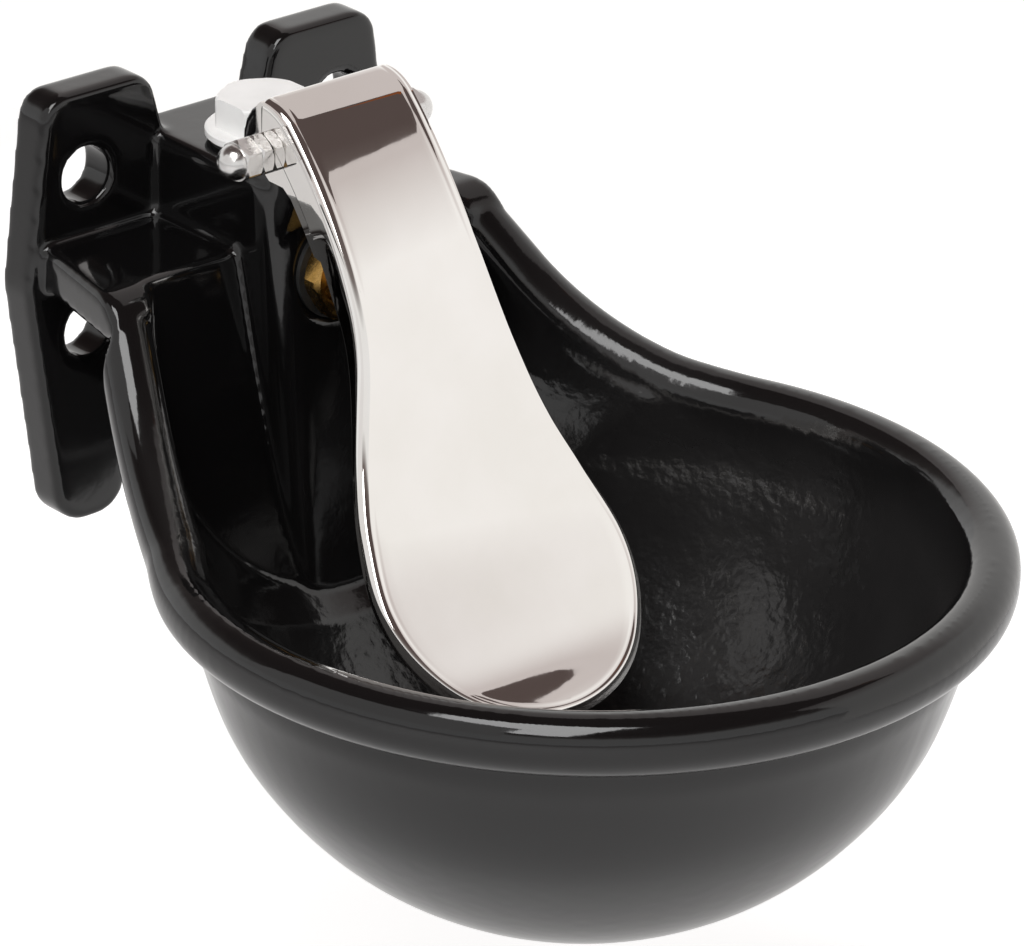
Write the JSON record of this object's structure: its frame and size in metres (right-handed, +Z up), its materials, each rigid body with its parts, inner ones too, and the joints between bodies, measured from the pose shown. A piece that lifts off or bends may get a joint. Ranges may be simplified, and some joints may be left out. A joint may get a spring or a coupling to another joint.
{
  "type": "livestock drinking bowl",
  "caption": "Wall-hung cast drinking bowl with a deep round basin, a hinged stainless tongue paddle and a spring-closed brass water valve pressed by the paddle.",
  "frame": {"origin": "middle of the four mounting holes, on the wall plane at the back of the flanges", "axes": "+Z up, -Y out from the wall towards the animal, +X to the right of someone who faces the bowl"},
  "size_m": [0.212, 0.26, 0.1868],
  "materials": {
    "black_enamel": "glossy black glass enamel over sand-cast iron, slightly rippled inside the bowl",
    "polished_stainless": "polished stainless sheet",
    "bright_steel": "turned and pressed stainless steel, bright",
    "brass": "machined brass",
    "black_rubber": "plain moulded rubber",
    "white_plastic": "white moulded plastic, slightly glossy"
  },
  "bodies": {
    "bowl": {"bowl_casting": "black_enamel", "hinge_rod": "bright_steel", "lock_nut_left": "bright_steel", "lock_nut_right": "bright_steel", "dome_nut_left": "bright_steel", "dome_nut_right": "bright_steel", "hinge_washer_left": "bright_steel", "hinge_washer_right": "bright_steel", "valve_body": "brass", "valve_gasket": "black_rubber", "guide_bush": "brass", "valve_spring": "bright_steel", "spring_cage": "white_plastic", "top_plug": "white_plastic", "plug_gasket": "black_rubber", "inlet_strainer": "white_plastic"},
    "paddle": {"paddle": "polished_stainless"},
    "valve_stem": {"valve_stem": "bright_steel", "valve_disc": "black_rubber", "disc_washer": "bright_steel", "stem_nut": "bright_steel"}
  },
  "joints": [
    {"name": "paddle_hinge", "type": "hinge", "parent": "bowl", "child": "paddle", "pos_m": [0, -0.0558, 0.0356], "axis": [1, 0, 0], "range_deg": [0, 5.9]},
    {"name": "stem_slide", "type": "slide", "parent": "bowl", "child": "valve_stem", "axis": [0, 1, 0], "range_m": [0, 0.00492], "deforming": ["valve_spring"]}
  ],
  "couplings": [
    {"joint": "stem_slide", "follows": "paddle_hinge", "m_per_rad": 0.0478}
  ]
}
